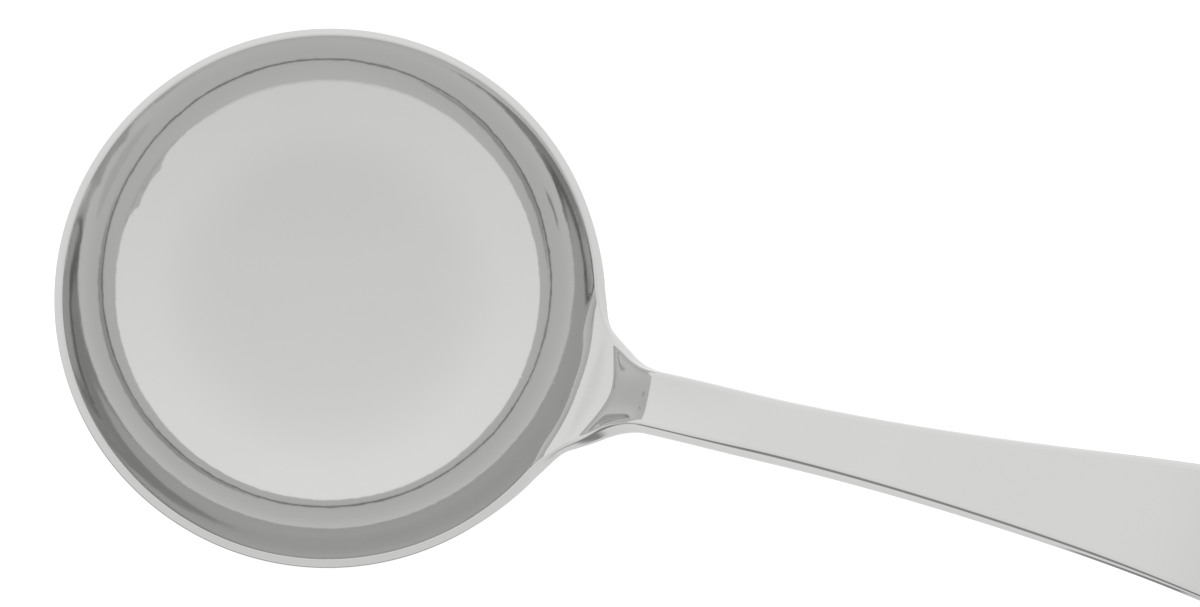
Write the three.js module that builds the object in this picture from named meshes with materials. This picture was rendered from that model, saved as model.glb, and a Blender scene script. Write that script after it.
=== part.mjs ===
// A polished steel soup ladle: a deep round bowl, a short grooved neck, and a flared handle.
//
// Units are millimetres. +X runs from the bowl towards the handle's end, +Z is up, and the rim is level.
// The origin is the middle of the small flat under the bowl.
//
// The ladle is drawn first as a flat pattern (x along the ladle, y across it, h above the rim plane).
// The pattern's surface is the bowl's hollow, easing out through the neck into the handle's flat top.
// The sheet's thickness is then set off square to that surface, and the handle is bent upwards.

import * as THREE from 'three';
import { mergeVertices } from 'three/addons/utils/BufferGeometryUtils.js';

// Bowl
const MOUTH_RADIUS = 43.5;        // inner edge of the rim
const BOWL_DEPTH = 21.7;          // from the rim plane to the bottom of the hollow
const BOWL_FULLNESS = 1.115;      // the hollow's curve, carried on until it stands upright, over the mouth
const BOWL_SQUARENESS = 2.6;      // power of the curve: 2 is an ellipse, more gives a flatter bottom
const WALL = 1.6;                 // thickness of the bowl's wall
const BASE_FLAT_DEPTH = 0.3;      // how much the polished flat takes off the bottom

// Neck
const NECK_HALF_WIDTH = 4.7;      // half the width of the handle's top face at the neck
const FILLET_RADIUS = 21;         // plan fillet between rim and handle
const HOLLOW_EASE_START = 41.5;   // the hollow starts to run out here
const HOLLOW_EASE_END = 48;       // and has become the handle's flat top here
const SPLIT_AT = 52;              // where the pressed bowl meets the forged handle
const SPLIT_GAP = 0.3;

// Handle, measured along its length from the bowl's middle
const HANDLE_END = 232;
const FLARE_START = 81;
const FLARE_LENGTH = 260;
const FLARE_GROWTH = 20.5;        // gain in half-width over the full flare, part of which the handle uses
const TIP_START = 204;            // the rounded end starts here
const NECK_THICKNESS = 4.6;
const END_THICKNESS = 2.2;
const THICKENING_START = 34;      // the wall starts to thicken into the neck
const THICKENING_END = 60;
const SIDE_DRAFT = 0.14;          // how far the handle's sides lean out, as a part of its thickness
const BELLY = 0.12;               // how far the handle's underside rounds up at its sides

// Slope of the handle along its length: [distance, degrees]
const RISE = [[43, 0], [51, 52], [56.5, 52], [64, 36.5], [140, 36], [232, -32]];
const BEND_LEAD = 1.8;            // the neck bends this much sooner at its edges than along its middle
const BEND_LEAD_START = 62;       // the edges' lead dies out from here
const BEND_LEAD_END = 84;         // to here

// Fineness of the mesh
const BOWL_COLUMNS = 34;
const NECK_COLUMNS = 8;
const NECK_END_COLUMNS = 4;
const HANDLE_COLUMNS = 26;
const TIP_COLUMNS = 8;
const BOWL_ROWS = 11;
const HANDLE_ROWS = 4;

const smoothStep = (t) => {
  const u = Math.min(Math.max(t, 0), 1);
  return u * u * (3 - 2 * u);
};

// ---- the bowl's hollow -----------------------------------------------------------------------------

const curveCut = Math.sqrt(1 - BOWL_FULLNESS ** -BOWL_SQUARENESS);
const curveHeight = BOWL_DEPTH / (1 - curveCut);
const curveWidth = BOWL_FULLNESS * MOUTH_RADIUS;

function hollowHeight(radius) {
  const part = Math.min(radius / curveWidth, 1 / BOWL_FULLNESS);
  return curveHeight * (curveCut - Math.sqrt(1 - part ** BOWL_SQUARENESS));
}

function hollowSlope(radius) {
  const part = Math.min(radius / curveWidth, 1 / BOWL_FULLNESS);
  const bulge = (BOWL_SQUARENESS / 2) * part ** (BOWL_SQUARENESS - 1);
  return (curveHeight / curveWidth) * bulge / Math.sqrt(1 - part ** BOWL_SQUARENESS);
}

// ---- the plan outline of the top surface -----------------------------------------------------------

const filletY = NECK_HALF_WIDTH + FILLET_RADIUS;
const filletX = Math.sqrt((MOUTH_RADIUS + FILLET_RADIUS) ** 2 - filletY ** 2);
const filletAngle = Math.atan2(filletY, filletX);
const filletStart = MOUTH_RADIUS * Math.cos(filletAngle);

function flareHalfWidth(x) {
  return NECK_HALF_WIDTH + FLARE_GROWTH * smoothStep((x - FLARE_START) / FLARE_LENGTH);
}

function halfWidth(x) {
  if (x < filletStart) {
    return Math.sqrt(MOUTH_RADIUS ** 2 - x * x);
  }
  if (x < filletX) {
    return filletY - Math.sqrt(FILLET_RADIUS ** 2 - (x - filletX) ** 2);
  }
  return flareHalfWidth(x);
}

// Distance along the bowl's own radius that stands for x: x itself in the bowl, then easing up to the
// mouth radius, where the hollow has run out. The ease has no jump in slope or curvature at its ends.
function hollowDistance(x) {
  if (x <= HOLLOW_EASE_START) {
    return x;
  }
  if (x >= HOLLOW_EASE_END) {
    return MOUTH_RADIUS;
  }
  const span = HOLLOW_EASE_END - HOLLOW_EASE_START;
  const t = (x - HOLLOW_EASE_START) / span;
  const gain = (MOUTH_RADIUS - HOLLOW_EASE_START) / span;
  const cubic = 10 * gain - 6;
  const quartic = 8 - 15 * gain;
  const quintic = 6 * gain - 3;
  return HOLLOW_EASE_START + span * (t + cubic * t ** 3 + quartic * t ** 4 + quintic * t ** 5);
}

function topHeight(x, y) {
  const along = hollowDistance(x);
  const reach = Math.sqrt(Math.max(MOUTH_RADIUS ** 2 - along ** 2, 0));
  const across = reach * Math.min(Math.abs(y) / halfWidth(x), 1);
  return hollowHeight(Math.hypot(along, across));
}

// Upward normal of the top surface, for y >= 0. The bowl's is worked out, the neck's is measured inwards.
function topNormal(x, y) {
  if (x <= Math.min(filletStart, HOLLOW_EASE_START)) {
    const slope = hollowSlope(Math.hypot(x, y));
    const turn = Math.atan2(y, x);
    return new THREE.Vector3(-slope * Math.cos(turn), -slope * Math.sin(turn), 1).normalize();
  }
  const step = 0.01;
  const side = Math.max(Math.min(y, halfWidth(x) - step), step);
  const slopeX = (topHeight(x, side) - topHeight(x - step, side)) / step;
  const slopeY = y < step ? 0 : (topHeight(x, side) - topHeight(x, side - step)) / step;
  return new THREE.Vector3(-slopeX, -slopeY, 1).normalize();
}

const thickening = (x) => smoothStep((x - THICKENING_START) / (THICKENING_END - THICKENING_START));

function sheetThickness(x) {
  const thinning = smoothStep((x - THICKENING_END) / (TIP_START - THICKENING_END));
  return WALL + (NECK_THICKNESS - WALL) * thickening(x) - (NECK_THICKNESS - END_THICKNESS) * thinning;
}

// ---- the bend --------------------------------------------------------------------------------------

function slopeAngle(x) {
  let degrees = RISE[0][1];
  for (let i = 1; i < RISE.length; i += 1) {
    const [from, before] = RISE[i - 1];
    const [to, after] = RISE[i];
    if (x > from) {
      degrees = before + (after - before) * smoothStep((x - from) / (to - from));
    }
  }
  return THREE.MathUtils.degToRad(degrees);
}

const BEND_STEP = 0.25;
const bendLine = [new THREE.Vector3(RISE[0][0], 0, 0)];
for (let x = RISE[0][0]; x < HANDLE_END + 1; x += BEND_STEP) {
  const angle = slopeAngle(x + BEND_STEP / 2);
  const last = bendLine[bendLine.length - 1];
  bendLine.push(new THREE.Vector3(Math.cos(angle), 0, Math.sin(angle)).multiplyScalar(BEND_STEP).add(last));
}

const rimHeight = BOWL_DEPTH + WALL - BASE_FLAT_DEPTH;

// Bends a point of the pattern. The neck's edges run ahead of its middle line, which dishes it slightly.
function bend(point) {
  if (point.x + BEND_LEAD <= RISE[0][0]) {
    return new THREE.Vector3(point.x, point.y, point.z + rimHeight);
  }
  const part = Math.min(Math.abs(point.y) / halfWidth(point.x), 1);
  const fade = 1 - smoothStep((point.x - BEND_LEAD_START) / (BEND_LEAD_END - BEND_LEAD_START));
  const lead = BEND_LEAD * part ** 2 * fade;
  const travel = Math.max((point.x + lead - RISE[0][0]) / BEND_STEP, 0);
  const index = Math.min(Math.floor(travel), bendLine.length - 2);
  const centre = bendLine[index].clone().lerp(bendLine[index + 1], travel - index);
  centre.x += Math.min(point.x + lead - RISE[0][0], 0);
  const angle = slopeAngle(point.x + lead);
  return new THREE.Vector3(
    centre.x - lead - point.z * Math.sin(angle),
    point.y,
    centre.z + point.z * Math.cos(angle) + rimHeight,
  );
}

// ---- columns: lines from the middle of the pattern out to its edge ---------------------------------

// Each column has its foot on the middle line, its edge point, and the edge's outward direction.
function bowlColumn(angle) {
  const out = new THREE.Vector2(Math.cos(angle), Math.sin(angle));
  return { foot: 0, edge: out.clone().multiplyScalar(MOUTH_RADIUS), out };
}

// The feet of the first neck columns fan out from the bowl's middle, until the columns stand square.
function neckColumn(x) {
  const edge = new THREE.Vector2(x, halfWidth(x));
  const out = new THREE.Vector2(filletX - x, filletY - edge.y).normalize();
  const fan = smoothStep((x - filletStart) / (SPLIT_AT - SPLIT_GAP / 2 - filletStart));
  return { foot: x * fan, edge, out };
}

function handleColumn(x) {
  const step = 0.5;
  const slope = (flareHalfWidth(x + step) - flareHalfWidth(x - step)) / (2 * step);
  const out = new THREE.Vector2(-slope, 1).normalize();
  return { foot: x, edge: new THREE.Vector2(x, flareHalfWidth(x)), out };
}

function tipColumn(turn) {
  const length = HANDLE_END - TIP_START;
  const x = TIP_START + length * Math.sin(turn);
  const width = flareHalfWidth(x);
  const edge = new THREE.Vector2(x, width * Math.cos(turn));
  const out = new THREE.Vector2(Math.sin(turn) / length, Math.cos(turn) / width).normalize();
  return { foot: x, edge, out };
}

// `count` values from `from` to `to`, both included.
function spread(from, to, count) {
  return Array.from({ length: count }, (_, i) => from + ((to - from) * i) / (count - 1));
}

// The section along one column, for y >= 0: top points from the middle out, and the points below them.
function columnSection({ foot, edge, out }, rows) {
  const top = [];
  const bottom = [];
  for (const part of spread(0, 1, rows + 1)) {
    const x = foot + (edge.x - foot) * part;
    const y = edge.y * part;
    const height = topHeight(x, y);
    const leanOut = thickening(x) * part;
    const depth = sheetThickness(x) * (1 - BELLY * leanOut * part);
    const draft = SIDE_DRAFT * depth * leanOut;
    const under = topNormal(x, y).multiplyScalar(-depth).add(new THREE.Vector3(x, y, height));
    under.x += out.x * draft;
    under.y += out.y * draft;
    top.push(bend(new THREE.Vector3(x, y, height)));
    const placed = bend(under);
    placed.z = Math.max(placed.z, 0);
    bottom.push(placed);
  }
  return { top, bottom };
}

const mirrored = (point) => new THREE.Vector3(point.x, -point.y, point.z);

// Closes a list of columns into one solid. An end whose section has a width gets a flat cap.
function solidFromColumns(columns, rows) {
  const sections = columns.map((column) => columnSection(column, rows));
  const triangles = [];
  const addTriangle = (a, b, c) => {
    const area = b.clone().sub(a).cross(c.clone().sub(a)).length();
    if (area > 1e-5) {
      triangles.push(a, b, c);
    }
  };
  // One quad on the +y side, and its mirror image with the winding turned round.
  const addQuadPair = (a, b, c, d) => {
    addTriangle(a, b, c);
    addTriangle(a, c, d);
    const [ma, mb, mc, md] = [a, b, c, d].map(mirrored);
    addTriangle(mc, mb, ma);
    addTriangle(md, mc, ma);
  };
  for (let j = 0; j + 1 < sections.length; j += 1) {
    const near = sections[j];
    const far = sections[j + 1];
    for (let i = 0; i < rows; i += 1) {
      addQuadPair(near.top[i], far.top[i], far.top[i + 1], near.top[i + 1]);
      addQuadPair(near.bottom[i + 1], far.bottom[i + 1], far.bottom[i], near.bottom[i]);
    }
    addQuadPair(near.top[rows], far.top[rows], far.bottom[rows], near.bottom[rows]);
  }
  const first = sections[0];
  const last = sections[sections.length - 1];
  for (let i = 0; i < rows; i += 1) {
    addQuadPair(first.top[i], first.top[i + 1], first.bottom[i + 1], first.bottom[i]);
    addQuadPair(last.bottom[i], last.bottom[i + 1], last.top[i + 1], last.top[i]);
  }
  const geometry = new THREE.BufferGeometry().setFromPoints(triangles);
  const merged = mergeVertices(geometry, 1e-4);
  merged.computeVertexNormals();
  return merged;
}

// ---- the two pieces --------------------------------------------------------------------------------

const polishedSteel = new THREE.MeshStandardMaterial({ color: 0xd2d2d0, metalness: 1, roughness: 0.08 });

function makeBowl() {
  const columns = spread(Math.PI, filletAngle, BOWL_COLUMNS).slice(0, -1).map(bowlColumn);
  columns.push(...spread(filletStart, SPLIT_AT - SPLIT_GAP / 2, NECK_COLUMNS).map(neckColumn));
  const bowl = new THREE.Mesh(solidFromColumns(columns, BOWL_ROWS), polishedSteel.clone());
  bowl.name = 'bowl';
  return bowl;
}

function makeHandle() {
  const columns = spread(SPLIT_AT + SPLIT_GAP / 2, filletX, NECK_END_COLUMNS).slice(0, -1).map(neckColumn);
  columns.push(...spread(filletX, TIP_START, HANDLE_COLUMNS).slice(0, -1).map(handleColumn));
  columns.push(...spread(0, Math.PI / 2, TIP_COLUMNS).map(tipColumn));
  const handle = new THREE.Mesh(solidFromColumns(columns, HANDLE_ROWS), polishedSteel.clone());
  handle.name = 'handle';
  return handle;
}

const ladle = new THREE.Group();
ladle.add(makeBowl(), makeHandle());

export default ladle;
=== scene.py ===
"""Looks of a polished steel soup ladle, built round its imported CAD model.

The bowl and the handle are rebuilt as fine, smooth solids from the same few dimensions as the CAD model:
a flat pattern whose surface is the bowl's hollow running out into the handle's flat top, a sheet set off
square below it, rounded edges, and one bend that lifts the neck and the handle. Lengths are in metres.
"""

import math

import bpy
import numpy as np
from mathutils import Matrix, Vector


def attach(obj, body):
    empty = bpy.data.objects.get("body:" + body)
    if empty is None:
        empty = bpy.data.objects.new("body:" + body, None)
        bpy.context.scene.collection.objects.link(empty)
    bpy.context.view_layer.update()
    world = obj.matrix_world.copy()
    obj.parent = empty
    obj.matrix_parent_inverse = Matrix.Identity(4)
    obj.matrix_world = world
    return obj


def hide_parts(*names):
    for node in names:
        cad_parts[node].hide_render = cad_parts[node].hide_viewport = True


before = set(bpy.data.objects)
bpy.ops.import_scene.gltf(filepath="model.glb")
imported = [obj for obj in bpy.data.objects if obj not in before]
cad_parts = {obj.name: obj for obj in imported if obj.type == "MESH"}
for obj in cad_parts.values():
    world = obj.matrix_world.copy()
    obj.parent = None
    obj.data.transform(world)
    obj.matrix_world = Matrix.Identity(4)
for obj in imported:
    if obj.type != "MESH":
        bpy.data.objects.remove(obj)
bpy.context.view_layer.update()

MM = 0.001

# ---- driving dimensions ------------------------------------------------------------------------------

# Bowl
MOUTH_RADIUS = 43.5 * MM         # inner edge of the rim
BOWL_DEPTH = 21.7 * MM           # from the rim plane to the bottom of the hollow
BOWL_FULLNESS = 1.115            # the hollow's curve, carried on until it stands upright, over the mouth
BOWL_SQUARENESS = 2.6            # power of the curve: 2 is an ellipse, more gives a flatter bottom
WALL = 1.6 * MM
BASE_FLAT_DEPTH = 0.3 * MM       # how much the polished flat takes off the bottom

# Neck
NECK_HALF_WIDTH = 4.7 * MM       # half the width of the top face at the neck
FILLET_RADIUS = 21 * MM          # plan fillet between rim and handle
HOLLOW_EASE_START = 41.5 * MM    # the hollow starts to run out here
HOLLOW_EASE_END = 48 * MM        # and has become the handle's flat top here
SPLIT_AT = 52 * MM               # where the pressed bowl meets the forged handle

# Handle, measured along its length from the bowl's middle
HANDLE_END = 232 * MM
FLARE_START = 81 * MM
FLARE_LENGTH = 260 * MM
FLARE_GROWTH = 20.5 * MM         # gain in half-width over the full flare, part of which the handle uses
TIP_START = 204 * MM             # the rounded end starts here
NECK_THICKNESS = 4.6 * MM
END_THICKNESS = 2.2 * MM
THICKENING_START = 34 * MM       # the wall starts to thicken into the neck
THICKENING_END = 60 * MM
SIDE_DRAFT = 0.14                # how far the handle's sides lean out, as a part of its thickness
BELLY = 0.12                     # how far the handle's underside rounds up at its sides

# Slope of the handle along its length: (distance, degrees)
RISE = [
    (43 * MM, 0), (51 * MM, 52), (56.5 * MM, 52), (64 * MM, 36.5), (140 * MM, 36), (232 * MM, -32),
]
BEND_LEAD = 1.8 * MM             # the neck bends this much sooner at its edges than along its middle
BEND_LEAD_START = 62 * MM        # the edges' lead dies out from here
BEND_LEAD_END = 84 * MM          # to here

# Edge rounding: at the bowl's rim, and on the handle
RIM_TOP_ROUND, HANDLE_TOP_ROUND = 0.25 * MM, 1.0 * MM
RIM_UNDER_ROUND, HANDLE_UNDER_ROUND = 0.45 * MM, 1.2 * MM

# Fineness of the mesh
BOWL_COLUMNS, NECK_COLUMNS, NECK_END_COLUMNS = 150, 60, 14
HANDLE_COLUMNS, TIP_COLUMNS = 150, 40
ROWS = 80
ARC_STEPS, SIDE_STEPS = 6, 4


def smooth_step(t):
    u = np.clip(t, 0, 1)
    return u * u * (3 - 2 * u)


# ---- the bowl's hollow -------------------------------------------------------------------------------

curve_cut = math.sqrt(1 - BOWL_FULLNESS**-BOWL_SQUARENESS)
curve_height = BOWL_DEPTH / (1 - curve_cut)
curve_width = BOWL_FULLNESS * MOUTH_RADIUS


def hollow_height(radius):
    part = np.minimum(radius / curve_width, 1 / BOWL_FULLNESS)
    return curve_height * (curve_cut - np.sqrt(1 - part**BOWL_SQUARENESS))


def hollow_slope(radius):
    part = np.minimum(radius / curve_width, 1 / BOWL_FULLNESS)
    bulge = BOWL_SQUARENESS / 2 * part ** (BOWL_SQUARENESS - 1)
    return curve_height / curve_width * bulge / np.sqrt(1 - part**BOWL_SQUARENESS)


# ---- the plan outline of the top surface -------------------------------------------------------------

fillet_y = NECK_HALF_WIDTH + FILLET_RADIUS
fillet_x = math.sqrt((MOUTH_RADIUS + FILLET_RADIUS) ** 2 - fillet_y**2)
fillet_angle = math.atan2(fillet_y, fillet_x)
fillet_start = MOUTH_RADIUS * math.cos(fillet_angle)


def flare_half_width(x):
    return NECK_HALF_WIDTH + FLARE_GROWTH * smooth_step((x - FLARE_START) / FLARE_LENGTH)


def half_width(x):
    round_rim = np.sqrt(np.maximum(MOUTH_RADIUS**2 - x * x, 0))
    fillet = fillet_y - np.sqrt(np.maximum(FILLET_RADIUS**2 - (x - fillet_x) ** 2, 0))
    return np.where(x < fillet_start, round_rim, np.where(x < fillet_x, fillet, flare_half_width(x)))


def hollow_distance(x):
    """Distance along the bowl's radius that stands for x: x in the bowl, easing to the mouth radius."""
    span = HOLLOW_EASE_END - HOLLOW_EASE_START
    t = np.clip((x - HOLLOW_EASE_START) / span, 0, 1)
    gain = (MOUTH_RADIUS - HOLLOW_EASE_START) / span
    eased = t + (10 * gain - 6) * t**3 + (8 - 15 * gain) * t**4 + (6 * gain - 3) * t**5
    return np.where(x <= HOLLOW_EASE_START, x, HOLLOW_EASE_START + span * eased)


def top_height(x, y):
    along = hollow_distance(x)
    reach = np.sqrt(np.maximum(MOUTH_RADIUS**2 - along**2, 0))
    across = reach * np.minimum(np.abs(y) / np.maximum(half_width(x), 1e-9), 1)
    return hollow_height(np.hypot(along, across))


def top_normal(x, y):
    """Upward normal of the top surface, for y >= 0: worked out in the bowl, measured in the neck."""
    slope = hollow_slope(np.hypot(x, y))
    turn = np.arctan2(y, x)
    step = 1e-6
    side = np.maximum(np.minimum(y, half_width(x) - step), step)
    slope_x = (top_height(x, side) - top_height(x - step, side)) / step
    slope_y = np.where(y < step, 0, (top_height(x, side) - top_height(x, side - step)) / step)
    in_bowl = x <= min(fillet_start, HOLLOW_EASE_START)
    nx = np.where(in_bowl, -slope * np.cos(turn), -slope_x)
    ny = np.where(in_bowl, -slope * np.sin(turn), -slope_y)
    normal = np.stack([nx, ny, np.ones_like(nx)], axis=-1)
    return normal / np.linalg.norm(normal, axis=-1, keepdims=True)


def thickening(x):
    return smooth_step((x - THICKENING_START) / (THICKENING_END - THICKENING_START))


def sheet_thickness(x):
    thinning = smooth_step((x - THICKENING_END) / (TIP_START - THICKENING_END))
    return WALL + (NECK_THICKNESS - WALL) * thickening(x) - (NECK_THICKNESS - END_THICKNESS) * thinning


# ---- the bend ----------------------------------------------------------------------------------------


def slope_angle(x):
    degrees = np.full_like(x, RISE[0][1], dtype=float)
    for (start, before), (end, after) in zip(RISE, RISE[1:]):
        eased = before + (after - before) * smooth_step((x - start) / (end - start))
        degrees = np.where(x > start, eased, degrees)
    return np.radians(degrees)


BEND_STEP = 0.02 * MM
bend_at = np.arange(RISE[0][0], HANDLE_END + 2 * MM, BEND_STEP)
middle_angle = slope_angle(bend_at + BEND_STEP / 2)
bend_x = RISE[0][0] + BEND_STEP * np.concatenate([[0], np.cumsum(np.cos(middle_angle))[:-1]])
bend_z = BEND_STEP * np.concatenate([[0], np.cumsum(np.sin(middle_angle))[:-1]])
rim_height = BOWL_DEPTH + WALL - BASE_FLAT_DEPTH


def bend(points):
    """Bends points of the pattern. The neck's edges run ahead of its middle, which dishes it slightly."""
    x, y, z = points[..., 0], points[..., 1], points[..., 2]
    part = np.minimum(np.abs(y) / np.maximum(half_width(x), 1e-9), 1)
    fade = 1 - smooth_step((x - BEND_LEAD_START) / (BEND_LEAD_END - BEND_LEAD_START))
    lead = BEND_LEAD * part**2 * fade
    along = x + lead
    angle = slope_angle(along)
    centre_x = np.where(along < RISE[0][0], along, np.interp(along, bend_at, bend_x)) - lead
    centre_z = np.where(along < RISE[0][0], 0, np.interp(along, bend_at, bend_z))
    height = centre_z + z * np.cos(angle) + rim_height
    return np.stack([centre_x - z * np.sin(angle), y, np.maximum(height, 0)], axis=-1)


# ---- columns: lines from the middle of the pattern out to its edge -----------------------------------


def bowl_column(angle):
    out = np.array([math.cos(angle), math.sin(angle)])
    return 0.0, MOUTH_RADIUS * out, out


def neck_column(x):
    """The feet of the first neck columns fan out from the bowl's middle, until the columns stand square."""
    edge = np.array([x, float(half_width(x))])
    out = np.array([fillet_x - x, fillet_y - edge[1]]) / FILLET_RADIUS
    fan = float(smooth_step((x - fillet_start) / (SPLIT_AT - fillet_start)))
    return x * fan, edge, out


def handle_column(x):
    step = 0.5 * MM
    slope = float(flare_half_width(x + step) - flare_half_width(x - step)) / (2 * step)
    out = np.array([-slope, 1.0]) / math.hypot(slope, 1)
    return x, np.array([x, float(flare_half_width(x))]), out


def tip_column(turn):
    length = HANDLE_END - TIP_START
    x = TIP_START + length * math.sin(turn)
    width = float(flare_half_width(x))
    out = np.array([math.sin(turn) / length, math.cos(turn) / width])
    return x, np.array([x, width * math.cos(turn)]), out / np.linalg.norm(out)


def lerp_plan(foot, edge, parts):
    x = foot + (edge[0] - foot) * parts
    return x, edge[1] * parts


def section(foot, edge, out):
    """The closed half section along one column: out over the top, round the edge, and back underneath."""
    blend = float(thickening(edge[0]))
    top_round = RIM_TOP_ROUND + (HANDLE_TOP_ROUND - RIM_TOP_ROUND) * blend
    under_round = RIM_UNDER_ROUND + (HANDLE_UNDER_ROUND - RIM_UNDER_ROUND) * blend
    depth = float(sheet_thickness(edge[0])) * (1 - BELLY * blend)
    under_round = min(under_round, 0.45 * depth)
    draft = SIDE_DRAFT * depth * blend

    up = top_normal(np.array([edge[0]]), np.array([edge[1]]))[0]
    climb = -(up[0] * out[0] + up[1] * out[1]) / up[2]
    away = np.array([out[0], out[1], climb]) / math.hypot(1, climb)
    corner = np.array([edge[0], edge[1], 0.0])

    inset = edge - top_round * away[:2]
    x, y = lerp_plan(min(foot, inset[0]), inset, np.linspace(0, 1, ROWS + 1))
    top = np.stack([x, y, top_height(x, y)], axis=-1)

    turn = np.linspace(0, math.pi / 2, ARC_STEPS + 1)[:, None]
    shoulder = corner - top_round * (away + up) + top_round * (np.sin(turn) * away + np.cos(turn) * up)
    side_from = corner - top_round * up
    side_to = corner + draft * away - (depth - under_round) * up
    steps = np.linspace(0, 1, SIDE_STEPS + 1)[1:, None]
    side = side_from + (side_to - side_from) * steps
    hip_centre = side_to - under_round * away
    hip = hip_centre + under_round * (np.cos(turn[1:]) * away - np.sin(turn[1:]) * up)

    inset = edge - under_round * away[:2]
    parts = np.linspace(1, 0, ROWS + 1)[1:]
    x, y = lerp_plan(min(foot, inset[0]), inset, parts)
    lean = thickening(x) * parts
    depths = sheet_thickness(x) * (1 - BELLY * lean * parts)
    under = np.stack([x, y, top_height(x, y)], axis=-1) - top_normal(x, y) * depths[:, None]
    under[:, :2] += SIDE_DRAFT * (depths * lean)[:, None] * out
    points = np.concatenate([top, shoulder[1:], side, hip, under])
    points[[0, -1], 1] = 0.0
    return bend(points)


def sections_of(columns):
    return np.array([section(*column) for column in columns])


# ---- from sections to meshes -------------------------------------------------------------------------


def merged(points):
    """Joins equal points: (unique points, index of each input point)."""
    keys = np.round(points.reshape(-1, 3) / 1e-8).astype(np.int64)
    _, first, index = np.unique(keys, axis=0, return_index=True, return_inverse=True)
    return points.reshape(-1, 3)[first], index.reshape(points.shape[:-1])


def skin_faces(index):
    """Quads between neighbouring sections, for a grid of point indices."""
    a, b = index[:-1, :-1], index[1:, :-1]
    c, d = index[1:, 1:], index[:-1, 1:]
    return np.stack([a, b, c, d], axis=-1).reshape(-1, 4)


def cap_faces(ring):
    """Quads that close an end section, from each top point to the point below it."""
    count = ROWS + 1
    top, under = ring[:count], ring[::-1][:count]
    a, b, c, d = top[:-1], top[1:], under[1:], under[:-1]
    rounding = ring[ROWS:len(ring) - ROWS]
    return np.stack([a, b, c, d], axis=-1), rounding


def point_key(point):
    return tuple(np.round(point / 1e-8).astype(np.int64))


def add_mesh(name, sections, cap_first=False, cap_last=False, normals=None):
    """One closed mesh from sections on the +y side and their mirror images, and its points."""
    points, index = merged(np.stack([sections, sections * np.array([1, -1, 1])]))
    faces = [skin_faces(index[0]), skin_faces(index[1])[:, ::-1]]
    rims = []
    for wanted, column, turned in ((cap_first, 0, False), (cap_last, -1, True)):
        for side in (0, 1) if wanted else ():
            quads, rounding = cap_faces(index[side][column])
            if turned != bool(side):
                quads, rounding = quads[:, ::-1], rounding[::-1]
            faces.append(quads)
            rims.append(rounding.tolist())
    polygons = []
    for quad in np.concatenate(faces).tolist():
        corners = [point for k, point in enumerate(quad) if point != quad[k - 1]]
        if len(set(corners)) >= 3:
            polygons.append(corners)
    mesh = bpy.data.meshes.new(name)
    mesh.from_pydata(points.tolist(), [], polygons + rims)
    mesh.shade_smooth()
    if normals is not None:
        mesh.normals_split_custom_set_from_vertices([normals[point_key(point)] for point in points])
    piece = bpy.data.objects.new(name, mesh)
    bpy.context.scene.collection.objects.link(piece)
    return piece, points


def whole_normals(sections):
    """Smooth normals of the whole ladle, so that the two pieces' surfaces run on into each other."""
    whole, points = add_mesh("whole_ladle", sections)
    found = {point_key(p): tuple(v.normal) for p, v in zip(points, whole.data.vertices)}
    bpy.data.meshes.remove(whole.data)
    return found


def make_pieces():
    bowl_columns = [bowl_column(a) for a in np.linspace(math.pi, fillet_angle, BOWL_COLUMNS)[:-1]]
    neck_columns = [neck_column(x) for x in np.linspace(fillet_start, SPLIT_AT, NECK_COLUMNS)]
    handle_columns = [neck_column(x) for x in np.linspace(SPLIT_AT, fillet_x, NECK_END_COLUMNS)[:-1]]
    handle_columns += [handle_column(x) for x in np.linspace(fillet_x, TIP_START, HANDLE_COLUMNS)[:-1]]
    handle_columns += [tip_column(turn) for turn in np.linspace(0, math.pi / 2, TIP_COLUMNS)]
    bowl_sections = sections_of(bowl_columns + neck_columns)
    handle_sections = sections_of(handle_columns)
    normals = whole_normals(np.concatenate([bowl_sections, handle_sections[1:]]))
    bowl, _ = add_mesh("polished_bowl", bowl_sections, cap_last=True, normals=normals)
    handle, _ = add_mesh("polished_handle", handle_sections, cap_first=True, normals=normals)
    return bowl, handle


# ---- material ----------------------------------------------------------------------------------------

class Nodes:
    """Short helpers for building a node tree."""

    def __init__(self, tree):
        self.nodes, self.links = tree.nodes, tree.links

    def put(self, value, socket):
        if isinstance(value, bpy.types.NodeSocket):
            self.links.new(value, socket)
        elif value is not None:
            socket.default_value = value

    def math(self, operation, first, second=None, third=None):
        node = self.nodes.new("ShaderNodeMath")
        node.operation = operation
        for value, socket in zip((first, second, third), node.inputs):
            self.put(value, socket)
        return node.outputs["Value"]

    def dot(self, first, second):
        node = self.nodes.new("ShaderNodeVectorMath")
        node.operation = "DOT_PRODUCT"
        self.put(first, node.inputs[0])
        self.put(second, node.inputs[1])
        return node.outputs["Value"]

    def ease(self, value, start, end, low=0.0, high=1.0):
        """Smooth change from low to high while value goes from start to end."""
        node = self.nodes.new("ShaderNodeMapRange")
        node.interpolation_type = "SMOOTHSTEP"
        for name, number in (("From Min", start), ("From Max", end), ("To Min", low), ("To Max", high)):
            node.inputs[name].default_value = number
        self.put(value, node.inputs["Value"])
        return node.outputs["Result"]

    def noise(self, place, scale, detail):
        node = self.nodes.new("ShaderNodeTexNoise")
        node.inputs["Scale"].default_value = scale
        node.inputs["Detail"].default_value = detail
        self.links.new(place, node.inputs["Vector"])
        return node.outputs["Fac"]


STEEL_LOW, STEEL_HIGH = (0.690, 0.690, 0.683, 1), (0.712, 0.712, 0.705, 1)
CLOUD_SCALE, WAVE_SCALE = 60, 300
ROUGHNESS, ROUGHNESS_GAIN = 0.03, 0.04
WAVE_STRENGTH, WAVE_HEIGHT = 0.5, 0.02 * MM


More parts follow.
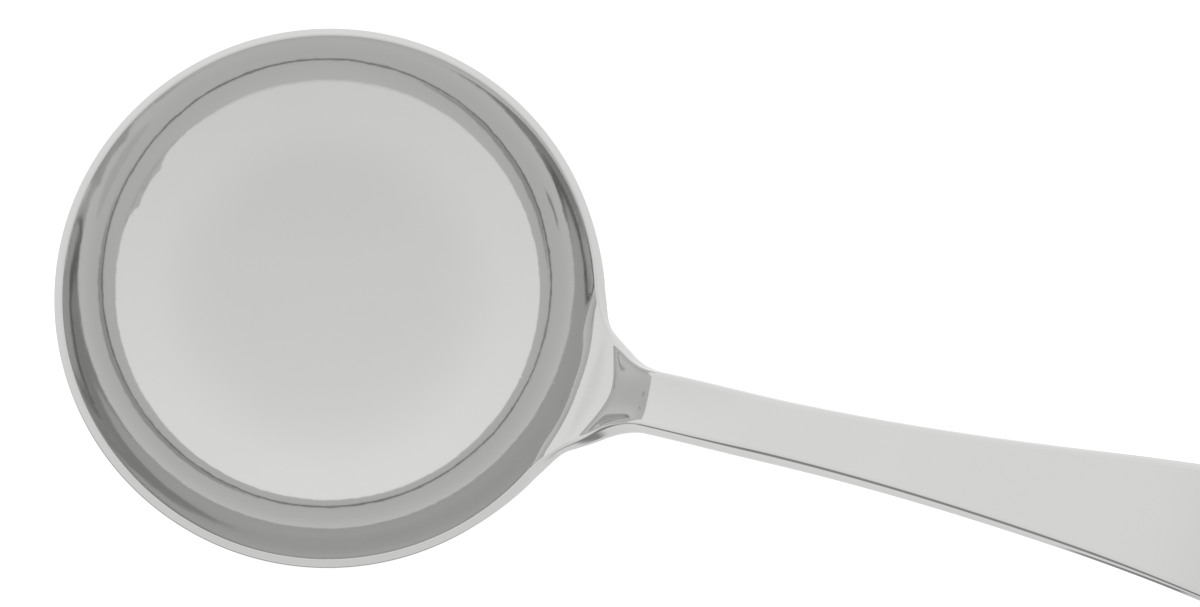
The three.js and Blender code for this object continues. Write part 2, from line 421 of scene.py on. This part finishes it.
def polished_steel():
    material = bpy.data.materials.new("polished_steel")
    material.use_nodes = True
    make = Nodes(material.node_tree)
    shader = material.node_tree.nodes["Principled BSDF"]
    shader.inputs["Metallic"].default_value = 1.0
    place = material.node_tree.nodes.new("ShaderNodeTexCoord").outputs["Object"]

    # Colour: stainless steel, with very slight clouding from polishing
    cloud = make.noise(place, CLOUD_SCALE, 3)
    tint = material.node_tree.nodes.new("ShaderNodeMix")
    tint.data_type = "RGBA"
    tint.inputs["A"].default_value = STEEL_LOW
    tint.inputs["B"].default_value = STEEL_HIGH
    make.put(cloud, tint.inputs["Factor"])
    make.put(tint.outputs["Result"], shader.inputs["Base Color"])

    # Roughness: a good polish, a little duller in patches
    make.put(make.math("MULTIPLY_ADD", cloud, ROUGHNESS_GAIN, ROUGHNESS), shader.inputs["Roughness"])

    # Bump: the slow waviness and the faint scuffs that hand polishing leaves
    wave = make.noise(place, WAVE_SCALE, 2)
    bump = material.node_tree.nodes.new("ShaderNodeBump")
    bump.inputs["Strength"].default_value = WAVE_STRENGTH
    bump.inputs["Distance"].default_value = WAVE_HEIGHT
    make.put(wave, bump.inputs["Height"])
    make.put(bump.outputs["Normal"], shader.inputs["Normal"])
    return material


# ---- stage -------------------------------------------------------------------------------------------

RIM_CENTRE = Vector((0, 0, rim_height))
CAMERA_DISTANCE = 0.9
CAMERA_TILT = math.radians(10.6)         # between the bowl's axis and the line to the camera
CAMERA_SIDE = math.radians(-60.3)        # plan direction in which the camera stands off the axis
HANDLE_TURN = math.radians(-20.1)        # the handle's direction in the view, below level
VIEW_WIDTH = 0.1961                      # width of the view at the rim
AIM_RIGHT, AIM_UP = 0.04425, -0.0014     # middle of the view, from the middle of the rim


def make_camera():
    back = Vector((
        math.cos(CAMERA_SIDE) * math.sin(CAMERA_TILT),
        math.sin(CAMERA_SIDE) * math.sin(CAMERA_TILT),
        math.cos(CAMERA_TILT),
    ))
    right = Vector((math.cos(-HANDLE_TURN), math.sin(-HANDLE_TURN), 0))
    up = back.cross(right).normalized()
    right = up.cross(back).normalized()
    location = RIM_CENTRE + CAMERA_DISTANCE * back
    aim = RIM_CENTRE + AIM_RIGHT * right + AIM_UP * up
    look_back = (location - aim).normalized()
    right = up.cross(look_back).normalized()
    up = look_back.cross(right)
    data = bpy.data.cameras.new("camera")
    data.sensor_width = 36
    data.lens = 36 * (location - aim).length / VIEW_WIDTH
    data.clip_start, data.clip_end = 0.01, 20
    camera = bpy.data.objects.new("camera", data)
    turned = Matrix((right, up, look_back)).transposed().to_4x4()
    camera.matrix_world = Matrix.Translation(location) @ turned
    bpy.context.scene.collection.objects.link(camera)
    bpy.context.scene.camera = camera
    return back


FLOOR_REACH = 6.0
FLOOR_COLOUR, FLOOR_GLOW = (0.25, 0.25, 0.25, 1), 0.84
LIGHT_SIZE, LIGHT_ENERGY, LIGHT_PLACE = 2.4, 30, (0.05, 0, 2.2)


def make_floor():
    """A white light table that glows, so that the shadow stays very faint. The steel doesn't mirror it."""
    mesh = bpy.data.meshes.new("floor")
    corners = [(x * FLOOR_REACH, y * FLOOR_REACH, 0) for x, y in ((-1, -1), (1, -1), (1, 1), (-1, 1))]
    mesh.from_pydata(corners, [], [(0, 1, 2, 3)])
    floor = bpy.data.objects.new("floor", mesh)
    bpy.context.scene.collection.objects.link(floor)
    material = bpy.data.materials.new("white_floor")
    material.use_nodes = True
    shader = material.node_tree.nodes["Principled BSDF"]
    shader.inputs["Base Color"].default_value = FLOOR_COLOUR
    shader.inputs["Roughness"].default_value = 0.9
    shader.inputs["Emission Color"].default_value = (1, 1, 1, 1)
    shader.inputs["Emission Strength"].default_value = FLOOR_GLOW
    mesh.materials.append(material)
    floor.visible_glossy = False


def make_light():
    """A large soft light overhead for the floor. The steel doesn't mirror it: it mirrors the white room."""
    data = bpy.data.lights.new("overhead", "AREA")
    data.shape = "DISK"
    data.size = LIGHT_SIZE
    data.energy = LIGHT_ENERGY
    light = bpy.data.objects.new("overhead", data)
    light.location = LIGHT_PLACE
    light.visible_glossy = False
    light.visible_camera = False
    bpy.context.scene.collection.objects.link(light)


def direction(zenith, side):
    """Unit vector at this angle from straight up, towards this plan direction, both in degrees."""
    out = math.sin(math.radians(zenith))
    turn = math.radians(side)
    return Vector((out * math.cos(turn), out * math.sin(turn), math.cos(math.radians(zenith))))


# The white room that the steel mirrors: its brightness overhead and lower down, and its brighter side
ROOM_OVERHEAD, ROOM_AROUND = 0.81, 0.89
ROOM_CHANGE = (0.45, 1.0)                # from lower down to overhead, as sines of the angle above level
BRIGHT_SIDE, BRIGHT_SIDE_GAIN = 114, 0.075

# The tent's open front is darker low down: soft edges of that band, as sines of the angle above level
FRONT_SIDE, FRONT_BOTTOM, FRONT_TOP = -90, (-0.55, -0.40), (0.14, 0.04)
FRONT_SPREAD, FRONT_LEAVES = (0.35, 0.75), 0.35

# Dark things in the room: (angle from straight up, plan direction, radius, soft edge, share of light left)
DARK_THINGS = (
    (10.5, -22, 4.2, 1.0, 0.62),         # the person behind the camera
    (36.0, -135, 2.5, 2.0, 0.45),        # a lamp's stand
    (41.0, -12, 8.0, 1.0, 0.88),         # a grey card
)
LENS_RADIUS, LENS_EDGE, LENS_LEAVES = 2.0, 1.2, 0.30
FIRST_BOUNCE_END = 1.5


def make_room(camera_direction):
    """A white tent all round, brighter on one side, with the camera's opening and a few dark things in it.

    The dark things act from the second reflection on, so that the steel's first images stay clean.
    """
    world = bpy.data.worlds.new("white_tent")
    bpy.context.scene.world = world
    world.use_nodes = True
    make = Nodes(world.node_tree)
    look = world.node_tree.nodes.new("ShaderNodeTexCoord").outputs["Generated"]
    height = make.dot(look, (0, 0, 1))
    light = make.ease(height, *ROOM_CHANGE, ROOM_AROUND, ROOM_OVERHEAD)
    side = make.dot(look, direction(90, BRIGHT_SIDE))
    light = make.math("MULTIPLY_ADD", side, BRIGHT_SIDE_GAIN, light)
    low = make.math("MULTIPLY", make.ease(height, *FRONT_BOTTOM), make.ease(height, *FRONT_TOP))
    front = make.ease(make.dot(look, direction(90, FRONT_SIDE)), *FRONT_SPREAD)
    taken = make.math("MULTIPLY", make.math("MULTIPLY", low, front), FRONT_LEAVES - 1)
    light = make.math("MULTIPLY_ADD", light, taken, light)
    things = [(direction(zenith, turn), *rest) for zenith, turn, *rest in DARK_THINGS]
    things.append((camera_direction, LENS_RADIUS, LENS_EDGE, LENS_LEAVES))
    bounces = world.node_tree.nodes.new("ShaderNodeLightPath").outputs["Glossy Depth"]
    again = make.math("GREATER_THAN", bounces, FIRST_BOUNCE_END)
    for towards, radius, edge, leaves in things:
        nearness = make.dot(look, towards)
        outer, inner = (math.cos(math.radians(radius + half)) for half in (edge / 2, -edge / 2))
        taken = make.math("MULTIPLY", again, make.ease(nearness, outer, inner, 0.0, leaves - 1))
        light = make.math("MULTIPLY_ADD", light, taken, light)
    make.put(light, world.node_tree.nodes["Background"].inputs["Color"])


# ---- put it together ---------------------------------------------------------------------------------

bowl, handle = make_pieces()
steel = polished_steel()
# Staging: the bowl doesn't mirror the handle from any side, though a real one would.
handle.visible_glossy = False
for piece, node in ((bowl, "bowl"), (handle, "handle")):
    piece.data.materials.append(steel)
    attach(piece, "root")
    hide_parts(node)

camera_direction = make_camera()
make_floor()
make_light()
make_room(camera_direction)
bpy.context.scene.view_settings.view_transform = "Standard"
